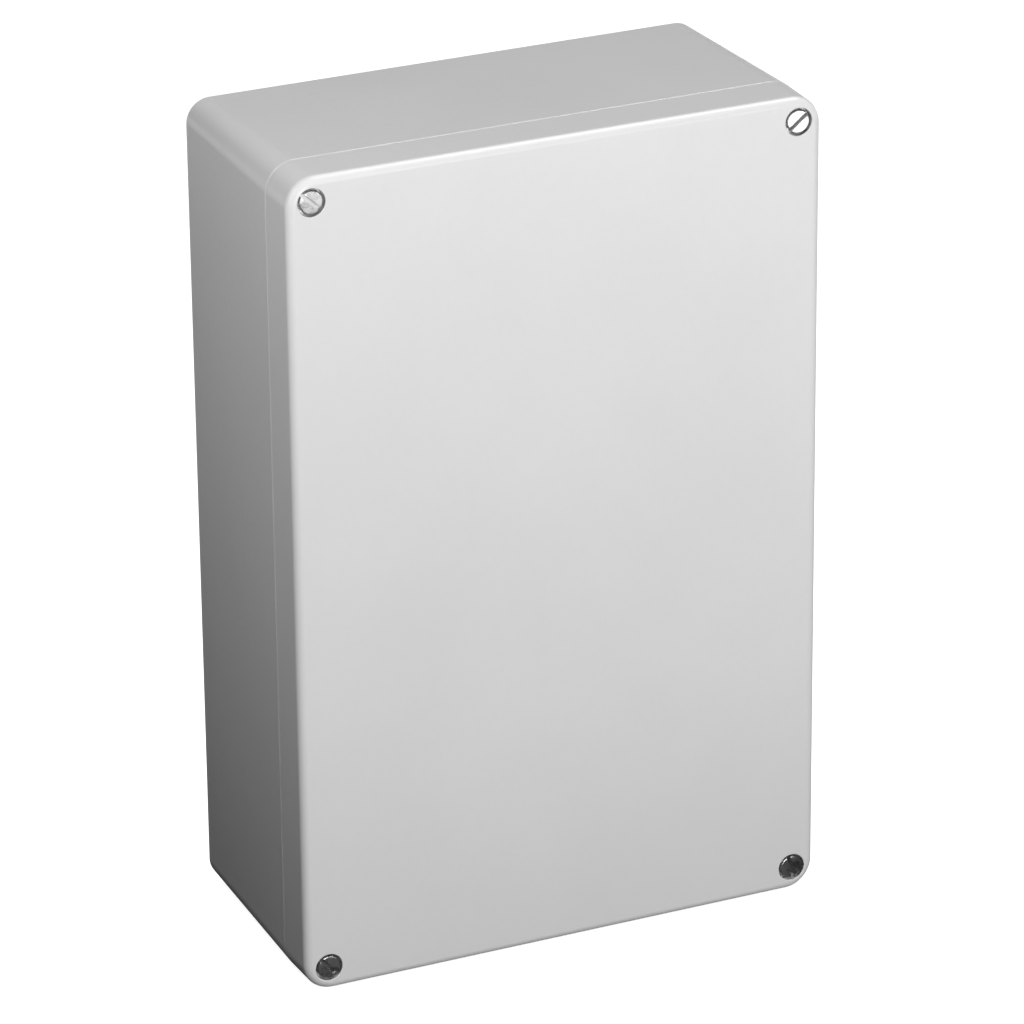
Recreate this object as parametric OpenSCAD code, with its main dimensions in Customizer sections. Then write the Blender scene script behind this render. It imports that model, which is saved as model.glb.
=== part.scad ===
// Die cast aluminium box: a deep cast base, a shallow cast lid with a rubber seal,
// four captive lid screws and an earth terminal in each half.
// The box stands on a short side, with its lid facing -Y.
//
// Sub-parts are drawn lying on the back of the base: x runs across the width,
// y along the height, and z from the back (0) to the front of the lid (box_d).
// standing() turns a sub-part into the part's own frame.

/* [Box] */
// Height of the box as it stands
box_h = 350; // [320:5:400]
// Width of the box
box_w = 230; // [210:5:260]
// Depth of the closed box, back to front
box_d = 110; // [100:5:150]
// Depth of the lid
lid_d = 21; // [19:0.5:26]
// Radius of the four tall outer corners, at the parting line
corner_r = 12.5; // [10:0.5:15]
// Draft angle of the base
base_draft = 1.5; // [0.5:0.1:1.8]
// Draft angle of the lid
lid_draft = 1; // [0.5:0.1:1.8]
// Radius of the edge round the lid's front face
front_edge_r = 2.4; // [1.5:0.1:3]
// Radius of the edge round the base's back face
back_edge_r = 1.6; // [0.8:0.1:2]

/* [Walls] */
// Thickness of the side walls at the parting line
wall = 6; // [5.6:0.1:6.6]
// Thickness of the floor of the base
floor_t = 4.5; // [3.5:0.1:5.5]
// Thickness of the lid's front plate
lid_t = 4.5; // [3.5:0.1:5.5]
// Radius of the cavity's corners, at the outer walls
cavity_r = 5.5; // [4:0.5:6]
// Radius of the free edge of each corner block
block_r = 7.5; // [6.5:0.5:8]
// Metal left between a mounting channel and the cavity
block_land = 6.5; // [6:0.1:7.5]

/* [Seal] */
// Width of the seal groove in the lid
groove_w = 3.2; // [2.8:0.1:3.6]
// Depth of the seal groove in the lid
groove_d = 2.6; // [2:0.1:3]
// Gap between the seal and each side of its groove
gasket_side_gap = 0.1; // [0.05:0.01:0.2]
// Width of the tongue on the rim of the base
tongue_w = 1.6; // [1.2:0.1:2]
// Height of the tongue on the rim of the base
tongue_h = 1; // [0.6:0.1:1.2]

/* [Lid screws] */
// Distance of each lid screw from the two nearest outer sides
screw_inset = 10.5; // [10.2:0.1:12]
// Outside diameter of the screw thread
thread_d = 6; // [5:0.5:6]
// Length of the thread at the screw's tip
thread_l = 7; // [6:0.5:8]
// Height of the chamfer at the screw's tip
tip_chamfer = 0.7; // [0.3:0.1:1]
// Diameter of the waist above the thread
waist_d = 4.7; // [4:0.1:4.7]
// Diameter of the screw head
head_d = 10; // [8.5:0.1:10.4]
// Height of the screw head
head_h = 3.9; // [3.3:0.1:4.2]
// Chamfer round the top of the screw head
head_chamfer = 0.5; // [0.2:0.1:0.8]
// Width of the driver slot
slot_w = 1.6; // [1.2:0.1:2]
// Depth of the driver slot
slot_depth = 1.7; // [1.2:0.1:2]
// How far the head lies below the lid's front face
head_sink = 0.3; // [0:0.1:1]
// Gap between the head and its counterbore, all round
counterbore_gap = 0.8; // [0.4:0.1:1]
// Gap between the thread and the clearance hole in the lid, all round
clearance_hole_gap = 0.3; // [0.2:0.05:0.5]
// Radial gap between a thread and its tapped hole
tapped_gap = 0.05; // [0.02:0.01:0.08]
// Depth of the plain entry above the tapped hole in the base
entry_depth = 6.2; // [5:0.1:6.6]
// Tapped length below the screw's tip
tap_runout = 3; // [1:0.5:5]

/* [Retaining collars] */
// Outside diameter of the collar that keeps a screw in the lid
collar_d = 9; // [8:0.1:9.4]
// Thickness of the collar
collar_t = 1.2; // [0.8:0.1:1.6]
// Radial gap between the collar and the waist it slides on
collar_bore_gap = 0.08; // [0.03:0.01:0.1]
// Gap between the collar and the wall of its recess, all round
collar_side_gap = 0.3; // [0.3:0.05:0.6]
// Gap above the collar when its screw is fully out
collar_top_gap = 0.3; // [0.3:0.05:0.6]

/* [Wall mounting] */
// Distance from each lid screw down or up to its wall mounting hole
mount_pitch = 20; // [18:0.5:24]
// Diameter of the wall mounting holes
mount_hole_d = 6.6; // [5.5:0.1:7]
// Diameter of the channel that takes the mounting screw and driver
channel_d = 11.5; // [10.5:0.1:12]
// Metal left behind the channel, at the back of the base
mount_web = 6; // [5:0.5:9]

/* [Inside bosses] */
// Diameter of each fixing boss at its face
boss_d = 10; // [8.5:0.5:11]
// Extra radius of each boss at its foot, from casting draft
boss_foot = 0.4; // [0.2:0.1:0.8]
// Height of the fixing bosses on the floor
floor_boss_h = 6; // [4:0.5:10]
// Height of the fixing bosses in the lid
lid_boss_h = 6; // [5:0.5:7]
// Distance of the fixing bosses from the cavity's tall walls
boss_inset_x = 29; // [28:0.5:34]
// Distance of the fixing bosses from the cavity's top and bottom walls
boss_inset_y = 39; // [34:0.5:46]
// Core diameter of the tapped holes in the fixing bosses
boss_tap_d = 3.3; // [2.5:0.1:4.2]
// Depth of the tapped holes in the fixing bosses
boss_tap_depth = 7.5; // [5:0.5:7.5]

/* [Earth terminals] */
// Sideways distance of both earth terminals from the middle
earth_x = 52; // [44:1:60]
// Distance of both earth terminals from the cavity's bottom wall
earth_inset_y = 22; // [16:0.5:26]
// Thread diameter of the base's earth screw
base_earth_d = 5; // [4:0.5:5]
// Thread diameter of the lid's earth screw
lid_earth_d = 4; // [3:0.5:4]
// Height of the earth boss on the floor
base_earth_boss_h = 8; // [6:0.5:12]
// Height of the earth boss in the lid
lid_earth_boss_h = 6; // [5:0.5:6]
// Length of the base's earth screw below its head
base_earth_l = 10; // [8:0.5:12]
// Length of the lid's earth screw below its head
lid_earth_l = 8; // [7:0.5:9]
// Width of the driver slot in the earth screws
earth_slot_w = 1.2; // [0.8:0.1:1.6]
// Thickness of the square clamp under each earth screw
clamp_t = 1.2; // [0.8:0.1:1.5]
// Height of the two lips bent up from each clamp
clamp_lip_h = 2.4; // [2:0.1:3]
// Thickness of the spring lock washers
lock_t = 1.2; // [0.8:0.1:1.5]
// Width of the slit in the spring lock washers
lock_slit = 0.8; // [0.5:0.1:1.2]

/* [Hidden] */
$fn = 96;

// A cut runs this far past the face that it opens
OVERCUT = 1;
// Gap between an earth screw's head and the clamp's lips
CLAMP_HEAD_GAP = 0.6;
// Point angle of a drill, measured from its axis
DRILL_HALF_ANGLE = 59;
// Angle of each screw's slot as it stands when tight, from the width towards the height
SLOT_TOP_LEFT = 137;
SLOT_TOP_RIGHT = 38.5;
SLOT_BOTTOM_LEFT = 129;
SLOT_BOTTOM_RIGHT = 104.5;
SLOT_EARTH = 30;

CAST = [0.78, 0.78, 0.78];
STEEL = [0.72, 0.73, 0.74];
RUBBER = [0.16, 0.16, 0.17];
NYLON = [0.9, 0.9, 0.86];
BRASS = [0.8, 0.66, 0.36];

// The parting plane between base and lid
part_z = box_d - lid_d;
// The cavity, as wide and high as the walls leave it
cavity_w = box_w - 2 * wall;
cavity_h = box_h - 2 * wall;
// Lid screw axes, and the wall mounting holes next to them
screw_x = box_w / 2 - screw_inset;
screw_y = box_h / 2 - screw_inset;
mount_y = screw_y - mount_pitch;
// Faces of the corner blocks that carry those holes
block_x = screw_x - channel_d / 2 - block_land;
block_y = mount_y - channel_d / 2 - block_land;
// Lid screw, along its axis
seat_z = box_d - head_sink - head_h;
thread_top_z = part_z - entry_depth;
// The screw is out of its thread when it has risen by the thread's length
screw_rise = thread_l;
entry_d = collar_d + 2 * collar_side_gap;
recess_depth = collar_t + screw_rise - entry_depth + collar_top_gap;
// Fixing bosses and earth terminals
boss_x = cavity_w / 2 - boss_inset_x;
boss_y = cavity_h / 2 - boss_inset_y;
earth_y = -cavity_h / 2 + earth_inset_y;
lid_inner_z = box_d - lid_t;

// Turns a sub-part from its drawing position into the part's frame
module standing() {
    translate([0, box_d / 2, box_h / 2]) rotate([90, 0, 0]) children();
}

// Copies a child to the four places (+-x, +-y)
module four(x, y) {
    for (sx = [-1, 1], sy = [-1, 1]) translate([sx * x, sy * y]) children();
}

// Rectangle with rounded corners
module rounded_rect(w, h, r) {
    square([w - 2 * r, h], center = true);
    square([w, h - 2 * r], center = true);
    four(w / 2 - r, h / 2 - r) circle(r);
}

// Half section of a drafted wall with a rounded end edge: x is the distance
// outwards from the corner's axis, y the distance from the wide end
module drafted_edge(r, h, draft, edge_r) {
    cy = h - edge_r;
    cx = r - cy * tan(draft) - edge_r / cos(draft);
    polygon([
        [0, 0], [r, 0],
        [cx + edge_r * cos(draft), cy + edge_r * sin(draft)],
        [cx, cy], [cx, h], [0, h],
    ]);
    translate([cx, cy]) circle(edge_r);
}

// Whole section of a drafted block of width w
module drafted_section(w, h, r, draft, edge_r) {
    translate([-(w / 2 - r), 0]) square([w - 2 * r, h]);
    for (side = [0, 1]) mirror([side, 0]) translate([w / 2 - r, 0]) drafted_edge(r, h, draft, edge_r);
}

// Solid block with rounded corners and drafted sides, wide end at z = 0
module drafted_block(w, l, h, r, draft, edge_r) {
    four(w / 2 - r, l / 2 - r) rotate_extrude() drafted_edge(r, h, draft, edge_r);
    rotate([90, 0, 0]) linear_extrude(l - 2 * r, center = true) drafted_section(w, h, r, draft, edge_r);
    rotate([90, 0, 90]) linear_extrude(w - 2 * r, center = true) drafted_section(l, h, r, draft, edge_r);
}

// Outline of the cavity, stepped in at the corner blocks and grown outwards by t
module cavity_outline(t = 0) {
    outer_r = cavity_r + t;
    inner_r = block_r - t;
    bx = block_x + t;
    by = block_y + t;
    rounded_rect(cavity_w + 2 * t, 2 * by, outer_r);
    rounded_rect(2 * bx, cavity_h + 2 * t, outer_r);
    difference() {
        four(bx, by) square(2 * inner_r, center = true);
        four(bx + inner_r, by + inner_r) circle(inner_r);
    }
}

// Band of width w that runs round on the middle of the walls, as the seal does
module seal_band(w) {
    difference() {
        cavity_outline(wall / 2 + w / 2);
        cavity_outline(wall / 2 - w / 2);
    }
}

// Blind drilled hole from z = 0 down, with the drill's point at its end
module blind_hole(d, depth) {
    translate([0, 0, -depth]) cylinder(h = depth + OVERCUT, d = d);
    point = d / 2 / tan(DRILL_HALF_ANGLE);
    translate([0, 0, -depth - point]) cylinder(h = point, d1 = 0, d2 = d);
}

// Cast boss standing on z = 0, sunk by root into the wall below it
module boss(d, h, root) {
    cylinder(h = h, d1 = d + 2 * boss_foot, d2 = d);
    translate([0, 0, -root]) cylinder(h = root, d = d + 2 * boss_foot);
}

// Slotted screw head with its underside at z = 0
module slotted_head(d, h, chamfer, slot, depth, angle) {
    difference() {
        union() {
            cylinder(h = h - chamfer, d = d);
            translate([0, 0, h - chamfer]) cylinder(h = chamfer, d1 = d, d2 = d - 2 * chamfer);
        }
        rotate(angle) translate([0, 0, h - depth / 2 + OVERCUT / 2])
            cube([d + 2 * OVERCUT, slot, depth + OVERCUT], center = true);
    }
}

// Threaded end of a screw, from z = 0 down, chamfered at the tip
module threaded_end(d, l) {
    translate([0, 0, tip_chamfer - l]) cylinder(h = l - tip_chamfer, d = d);
    translate([0, 0, -l]) cylinder(h = tip_chamfer, d1 = d - 2 * tip_chamfer, d2 = d);
}

// Places in the two halves where the earth terminals sit, on the face of the boss
module at_base_earth() {
    translate([-earth_x, earth_y, floor_t + base_earth_boss_h]) children();
}

module at_lid_earth() {
    translate([earth_x, earth_y, lid_inner_z - lid_earth_boss_h]) mirror([0, 0, 1]) children();
}

// Sizes of an earth terminal that follow from its thread diameter d
function earth_head_d(d) = 1.7 * d;
function earth_head_h(d) = 0.65 * d;
function earth_boss_d(d) = 2 * d + 2;
function clamp_w(d) = earth_head_d(d) + 2 * clamp_t + 2 * CLAMP_HEAD_GAP;
// The clamp and the lock washer lie between the boss and the screw's head
clamp_stack = clamp_t + lock_t;

// The deep half: walls, floor, corner blocks, fixing bosses, earth boss and rim tongue
module housing_base() {
    color(CAST) standing() difference() {
        union() {
            difference() {
                translate([0, 0, part_z]) mirror([0, 0, 1])
                    drafted_block(box_w, box_h, part_z, corner_r, base_draft, back_edge_r);
                translate([0, 0, floor_t]) linear_extrude(box_d) cavity_outline();
            }
            translate([0, 0, floor_t]) four(boss_x, boss_y) boss(boss_d, floor_boss_h, floor_t / 2);
            translate([-earth_x, earth_y, floor_t])
                boss(earth_boss_d(base_earth_d), base_earth_boss_h, floor_t / 2);
            translate([0, 0, part_z - tongue_h]) linear_extrude(2 * tongue_h) seal_band(tongue_w);
        }
        // lid screw holes: plain entry for the collar, then the tapped length
        four(screw_x, screw_y) {
            translate([0, 0, thread_top_z]) cylinder(h = entry_depth + OVERCUT, d = entry_d);
            translate([0, 0, thread_top_z])
                blind_hole(thread_d + 2 * tapped_gap, thread_l + tap_runout);
        }
        // wall mounting holes at the end of their channels
        four(screw_x, mount_y) {
            translate([0, 0, mount_web]) cylinder(h = box_d, d = channel_d);
            translate([0, 0, -OVERCUT]) cylinder(h = mount_web + 2 * OVERCUT, d = mount_hole_d);
        }
        translate([0, 0, floor_t + floor_boss_h]) four(boss_x, boss_y)
            blind_hole(boss_tap_d, boss_tap_depth);
        at_base_earth() blind_hole(base_earth_d + 2 * tapped_gap, base_earth_l - clamp_stack + tapped_gap);
    }
}

// The shallow half: front plate, skirt, corner pillars, seal groove, bosses
module lid() {
    color(CAST) standing() difference() {
        union() {
            difference() {
                translate([0, 0, part_z])
                    drafted_block(box_w, box_h, lid_d, corner_r, lid_draft, front_edge_r);
                linear_extrude(lid_inner_z) cavity_outline();
            }
            translate([0, 0, lid_inner_z]) mirror([0, 0, 1]) {
                four(boss_x, boss_y) boss(boss_d, lid_boss_h, lid_t / 2);
                translate([earth_x, earth_y])
                    boss(earth_boss_d(lid_earth_d), lid_earth_boss_h, lid_t / 2);
            }
        }
        translate([0, 0, part_z - OVERCUT]) linear_extrude(groove_d + OVERCUT) seal_band(groove_w);
        // lid screw holes: counterbore for the head, clearance hole, recess for the collar
        four(screw_x, screw_y) {
            translate([0, 0, seat_z]) cylinder(h = box_d, d = head_d + 2 * counterbore_gap);
            translate([0, 0, part_z - OVERCUT])
                cylinder(h = box_d, d = thread_d + 2 * clearance_hole_gap);
            translate([0, 0, part_z - OVERCUT]) cylinder(h = recess_depth + OVERCUT, d = entry_d);
        }
        translate([0, 0, lid_inner_z - lid_boss_h]) mirror([0, 0, 1]) four(boss_x, boss_y)
            blind_hole(boss_tap_d, boss_tap_depth);
        at_lid_earth() blind_hole(lid_earth_d + 2 * tapped_gap, lid_earth_l - clamp_stack + tapped_gap);
    }
}

// Rubber seal, lying in the lid's groove down to the tongue on the base
module lid_gasket() {
    color(RUBBER) standing() translate([0, 0, part_z + tongue_h])
        linear_extrude(groove_d - tongue_h) seal_band(groove_w - 2 * gasket_side_gap);
}

// Captive screw: slotted cheese head, waist, and a short thread at the tip
module lid_screw(sx, sy, slot_angle) {
    color(STEEL) standing() translate([sx * screw_x, sy * screw_y]) {
        translate([0, 0, seat_z])
            slotted_head(head_d, head_h, head_chamfer, slot_w, slot_depth, slot_angle);
        translate([0, 0, thread_top_z]) cylinder(h = seat_z - thread_top_z, d = waist_d);
        translate([0, 0, thread_top_z]) threaded_end(thread_d, thread_l);
    }
}

// Collar on the screw's waist, resting on the shoulder of the thread
module screw_collar(sx, sy) {
    color(NYLON) standing() translate([sx * screw_x, sy * screw_y, thread_top_z]) difference() {
        cylinder(h = collar_t, d = collar_d);
        translate([0, 0, -OVERCUT]) cylinder(h = collar_t + 2 * OVERCUT, d = waist_d + 2 * collar_bore_gap);
    }
}

// Earth terminal pieces, with the face of their boss at z = 0
module terminal_clamp(d) {
    w = clamp_w(d);
    difference() {
        union() {
            translate([-w / 2, -w / 2, 0]) cube([w, w, clamp_t]);
            for (side = [-1, 1]) translate([side * (w - clamp_t) / 2, 0, clamp_lip_h / 2])
                cube([clamp_t, w, clamp_lip_h], center = true);
        }
        translate([0, 0, -OVERCUT]) cylinder(h = clamp_lip_h + 2 * OVERCUT, d = d + 2 * tapped_gap);
    }
}

module terminal_lock_washer(d) {
    translate([0, 0, clamp_t]) difference() {
        cylinder(h = lock_t, d = earth_head_d(d));
        translate([0, 0, -OVERCUT]) cylinder(h = lock_t + 2 * OVERCUT, d = d + 2 * tapped_gap);
        translate([0, -lock_slit / 2, -OVERCUT]) cube([d * 2, lock_slit, lock_t + 2 * OVERCUT]);
    }
}

module terminal_screw(d, l) {
    translate([0, 0, clamp_stack]) {
        slotted_head(earth_head_d(d), earth_head_h(d), head_chamfer, earth_slot_w,
            earth_head_h(d) / 2, SLOT_EARTH);
        threaded_end(d, l);
    }
}

module earth_screw() { color(BRASS) standing() at_base_earth() terminal_screw(base_earth_d, base_earth_l); }
module earth_lock_washer() { color(STEEL) standing() at_base_earth() terminal_lock_washer(base_earth_d); }
module earth_clamp() { color(BRASS) standing() at_base_earth() terminal_clamp(base_earth_d); }
module lid_earth_screw() { color(BRASS) standing() at_lid_earth() terminal_screw(lid_earth_d, lid_earth_l); }
module lid_earth_lock_washer() { color(STEEL) standing() at_lid_earth() terminal_lock_washer(lid_earth_d); }
module lid_earth_clamp() { color(BRASS) standing() at_lid_earth() terminal_clamp(lid_earth_d); }

housing_base();
lid();
lid_gasket();
lid_screw(-1, 1, SLOT_TOP_LEFT);  // lid_screw_top_left
lid_screw(1, 1, SLOT_TOP_RIGHT);  // lid_screw_top_right
lid_screw(-1, -1, SLOT_BOTTOM_LEFT);  // lid_screw_bottom_left
lid_screw(1, -1, SLOT_BOTTOM_RIGHT);  // lid_screw_bottom_right
screw_collar(-1, 1);  // screw_collar_top_left
screw_collar(1, 1);  // screw_collar_top_right
screw_collar(-1, -1);  // screw_collar_bottom_left
screw_collar(1, -1);  // screw_collar_bottom_right
earth_screw();
earth_lock_washer();
earth_clamp();
lid_earth_screw();
lid_earth_lock_washer();
lid_earth_clamp();
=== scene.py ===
"""Looks of a die cast aluminium box: castings, seal, captive lid screws, earth terminals and studio.

Pieces are modelled lying on the back of the base, x across the width, y along the height and z from
the back to the front, in metres. Bench.stand then turns each one up into the model's own frame.
"""
import logging
import math
from collections.abc import Callable, Iterator, Sequence
from contextlib import contextmanager
from dataclasses import dataclass, field
from enum import Enum

import bmesh
import bpy
from mathutils import Matrix, Vector


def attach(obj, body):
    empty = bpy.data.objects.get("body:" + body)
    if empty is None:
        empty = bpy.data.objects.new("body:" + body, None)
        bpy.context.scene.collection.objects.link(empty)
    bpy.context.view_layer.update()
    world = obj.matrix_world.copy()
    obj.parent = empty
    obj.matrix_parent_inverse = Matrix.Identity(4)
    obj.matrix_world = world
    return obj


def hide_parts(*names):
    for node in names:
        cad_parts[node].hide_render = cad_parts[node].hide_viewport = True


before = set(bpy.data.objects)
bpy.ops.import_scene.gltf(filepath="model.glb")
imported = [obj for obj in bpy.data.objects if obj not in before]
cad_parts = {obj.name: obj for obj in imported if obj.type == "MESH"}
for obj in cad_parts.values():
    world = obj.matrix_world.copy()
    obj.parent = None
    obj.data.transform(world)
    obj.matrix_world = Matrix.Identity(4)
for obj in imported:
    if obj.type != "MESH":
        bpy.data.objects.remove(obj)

logging.basicConfig(level=logging.INFO, format="%(name)s: %(message)s")
log = logging.getLogger("cast_box")

Profile = Sequence[tuple[float, float]]
Places = Sequence[tuple[float, float]]
Span = tuple[float, float]
Point = tuple[float, float]
Colour = tuple[float, float, float, float]
Piece = bpy.types.Object
Material = bpy.types.Material
Node = bpy.types.Node
Socket = bpy.types.NodeSocket
Tree = bpy.types.NodeTree
Test = Callable[[Vector], bool]

MM = 0.001
MERGE = 1e-6
SMOOTH_ANGLE = math.radians(32)
DRILL_HALF_ANGLE = math.radians(59)


class Element(Enum):
    """Kind of mesh element that an edit works on."""

    VERTEX = "VERT"
    EDGE = "EDGE"
    FACE = "FACE"


class Corner(Enum):
    """The four corners of the lid, as signs of x and y."""

    TOP_LEFT = (-1, 1)
    TOP_RIGHT = (1, 1)
    BOTTOM_LEFT = (-1, -1)
    BOTTOM_RIGHT = (1, -1)

    @property
    def label(self) -> str:
        """Name of the corner as the bodies and nodes spell it."""
        return self.name.lower()


@dataclass(frozen=True)
class BoxSizes:
    """Main sizes of the box in metres.

    They are the solids' own, but for the front edge, which is rounded 1 mm more here, and the two
    parting edges, which the solids leave sharp.
    """

    width: float = 230 * MM
    height: float = 350 * MM
    depth: float = 110 * MM
    lid_depth: float = 21 * MM
    corner_radius: float = 12.5 * MM
    base_draft: float = math.radians(1.5)
    lid_draft: float = math.radians(1)
    front_edge_radius: float = 3.4 * MM
    back_edge_radius: float = 1.6 * MM
    base_parting_radius: float = 1.2 * MM
    lid_parting_radius: float = 0.3 * MM
    wall: float = 6 * MM
    floor: float = 4.5 * MM
    lid_plate: float = 4.5 * MM
    cavity_radius: float = 5.5 * MM
    block_radius: float = 7.5 * MM
    block_x: float = 92.25 * MM
    block_y: float = 132.25 * MM
    screw_x: float = 104.5 * MM
    screw_y: float = 164.5 * MM
    mount_y: float = 144.5 * MM
    boss_x: float = 80 * MM
    boss_y: float = 130 * MM
    earth_x: float = 52 * MM
    earth_y: float = -147 * MM

    @property
    def parting(self) -> float:
        """Height of the plane where lid and base meet."""
        return self.depth - self.lid_depth

    @property
    def lid_inside(self) -> float:
        """Height of the lid's inner face."""
        return self.depth - self.lid_plate

    @property
    def cavity_x(self) -> float:
        """Half width of the cavity."""
        return self.width / 2 - self.wall

    @property
    def cavity_y(self) -> float:
        """Half height of the cavity."""
        return self.height / 2 - self.wall


SIZES = BoxSizes()


# ---------------------------------------------------------------- hand tools


def arc(x: float, z: float, radius: float, start: float, end: float, steps: int = 6) -> list[Point]:
    """Points along an arc of a profile.

    Args:
        x: Distance of the arc's centre from the axis.
        z: Height of the arc's centre.
        radius: Radius of the arc.
        start: First angle in degrees, from the x direction towards z.
        end: Last angle in degrees.
        steps: Number of chords.

    Returns:
        The points, both ends among them.
    """
    angles = [math.radians(start + (end - start) * i / steps) for i in range(steps + 1)]
    return [(x + radius * math.cos(a), z + radius * math.sin(a)) for a in angles]


class Bench:
    """Hand tools. Each one drives Blender's own operators on a single piece."""

    @staticmethod
    def take(piece: Piece) -> None:
        """Leaves only this piece selected and active, in object mode."""
        active = bpy.context.view_layer.objects.active
        if active is not None and active.mode != "OBJECT":
            bpy.ops.object.mode_set(mode="OBJECT")
        bpy.ops.object.select_all(action="DESELECT")
        piece.select_set(True)
        bpy.context.view_layer.objects.active = piece

    @staticmethod
    def named(name: str) -> Piece:
        """Names the object that an operator has just added, and returns it."""
        piece = bpy.context.view_layer.objects.active
        piece.name = name
        piece.data.name = name
        return piece

    @staticmethod
    @contextmanager
    def editing(piece: Piece, element: Element = Element.VERTEX) -> Iterator[None]:
        """Opens a piece in edit mode, with everything selected, and closes it again."""
        Bench.take(piece)
        bpy.ops.object.mode_set(mode="EDIT")
        bpy.ops.mesh.select_mode(type=element.value)
        bpy.ops.mesh.select_all(action="SELECT")
        yield
        bpy.ops.object.mode_set(mode="OBJECT")

    @staticmethod
    def pick(piece: Piece, element: Element, test: Test) -> int:
        """Selects the elements whose middle passes a test.

        Args:
            piece: The piece, open in edit mode.
            element: Kind of element to select.
            test: Says whether a middle point is wanted.

        Returns:
            How many elements were selected.
        """
        bpy.ops.mesh.select_mode(type=element.value)
        bpy.ops.mesh.select_all(action="DESELECT")
        shape = bmesh.from_edit_mesh(piece.data)
        if element is Element.VERTEX:
            chosen = [v for v in shape.verts if test(v.co)]
        elif element is Element.EDGE:
            chosen = [e for e in shape.edges if test((e.verts[0].co + e.verts[1].co) / 2)]
        else:
            chosen = [f for f in shape.faces if test(f.calc_center_median())]
        for item in chosen:
            item.select_set(True)
        bmesh.update_edit_mesh(piece.data)
        return len(chosen)

    @staticmethod
    def level_edges(piece: Piece, height: float) -> int:
        """Selects the edges that lie at one height, and returns their number."""
        bpy.ops.mesh.select_mode(type="EDGE")
        bpy.ops.mesh.select_all(action="DESELECT")
        shape = bmesh.from_edit_mesh(piece.data)
        chosen = [e for e in shape.edges if all(abs(v.co.z - height) < MERGE for v in e.verts)]
        for edge in chosen:
            edge.select_set(True)
        bmesh.update_edit_mesh(piece.data)
        return len(chosen)

    @staticmethod
    def round_level(piece: Piece, height: float, radius: float, steps: int, lean: float = 0.0) -> None:
        """Rounds the edges at one height.

        Args:
            piece: The piece to work on.
            height: Height of the edges.
            radius: Radius of the rounding.
            steps: Number of chords in it.
            lean: How far the wall leans off square, in radians, away from the edge.
        """
        reach = radius / math.tan((math.pi / 2 + lean) / 2)
        with Bench.editing(piece, Element.EDGE):
            Bench.level_edges(piece, height)
            bpy.ops.mesh.bevel(
                offset=reach, offset_type="OFFSET", affect="EDGES",
                segments=steps, profile=0.5, clamp_overlap=False,
            )

    @staticmethod
    def close_up(piece: Piece) -> None:
        """Fills the open rims of a piece, merges its doubles and turns its faces outwards."""
        with Bench.editing(piece, Element.EDGE):
            bpy.ops.mesh.remove_doubles(threshold=MERGE)
            bpy.ops.mesh.select_all(action="DESELECT")
            bpy.ops.mesh.select_non_manifold(
                extend=False, use_wire=False, use_boundary=True,
                use_multi_face=False, use_non_contiguous=False,
            )
            shape = bmesh.from_edit_mesh(piece.data)
            if any(e.select for e in shape.edges):
                bpy.ops.mesh.edge_face_add()
            bpy.ops.mesh.select_all(action="SELECT")
            bpy.ops.mesh.normals_make_consistent(inside=False)

    @staticmethod
    def rounded_plate(
        name: str, width: float, height: float, level: float, radius: float, steps: int = 20
    ) -> Piece:
        """Flat plate with rounded corners, centred on the z axis.

        Args:
            name: Name of the piece.
            width: Size along x.
            height: Size along y.
            level: Height of the plate along z.
            radius: Radius of its corners.
            steps: Number of chords in each corner.

        Returns:
            The plate, a single face that looks along +z.
        """
        Bench.clear()
        bpy.ops.mesh.primitive_plane_add(size=1)
        piece = Bench.named(name)
        with Bench.editing(piece):
            bpy.ops.transform.resize(value=(width, height, 1))
            bpy.ops.transform.translate(value=(0, 0, level))
            Bench.round_points(radius, steps)
        return piece

    @staticmethod
    def clear() -> None:
        """Deselects everything, the loaded nodes among them."""
        active = bpy.context.view_layer.objects.active
        if active is not None and active.mode != "OBJECT":
            bpy.ops.object.mode_set(mode="OBJECT")
        bpy.ops.object.select_all(action="DESELECT")

    @staticmethod
    def stepped_plate(name: str, grow: float, level: float, steps: int = 10) -> Piece:
        """Flat plate with the cavity's outline, stepped in at the four corner blocks.

        Args:
            name: Name of the piece.
            grow: How far the outline is grown outwards.
            level: Height of the plate along z.
            steps: Number of chords in each corner.

        Returns:
            The plate, a single face that looks along +z.
        """
        Bench.clear()
        bpy.ops.mesh.primitive_grid_add(x_subdivisions=3, y_subdivisions=3, size=2)
        piece = Bench.named(name)
        outer_x, outer_y = SIZES.cavity_x + grow, SIZES.cavity_y + grow
        inner_x, inner_y = SIZES.block_x + grow, SIZES.block_y + grow
        third = 1 / 3
        with Bench.editing(piece):
            for axis, inner, outer in ((0, inner_x, outer_x), (1, inner_y, outer_y)):
                for old, new in ((third, inner), (1.0, outer)):
                    for side in (-1, 1):
                        Bench.pick(piece, Element.VERTEX, lambda c: abs(c[axis] - side * old) < 0.01)
                        shift = [0.0, 0.0, 0.0]
                        shift[axis] = side * (new + 2) - side * old
                        bpy.ops.transform.translate(value=shift)
                for side in (-1, 1):
                    Bench.pick(piece, Element.VERTEX, lambda c: c[axis] * side > 1.5)
                    shift = [0.0, 0.0, 0.0]
                    shift[axis] = -2.0 * side
                    bpy.ops.transform.translate(value=shift)
            Bench.pick(piece, Element.FACE, lambda c: abs(c.x) > inner_x and abs(c.y) > inner_y)
            bpy.ops.mesh.delete(type="FACE")
            bpy.ops.mesh.select_all(action="SELECT")
            bpy.ops.mesh.dissolve_faces()
            bpy.ops.transform.translate(value=(0, 0, level))
            Bench.pick(
                piece, Element.VERTEX, lambda c: abs(c.x) > inner_x + MERGE or abs(c.y) > inner_y + MERGE
            )
            Bench.round_points(SIZES.cavity_radius + grow, steps)
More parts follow.
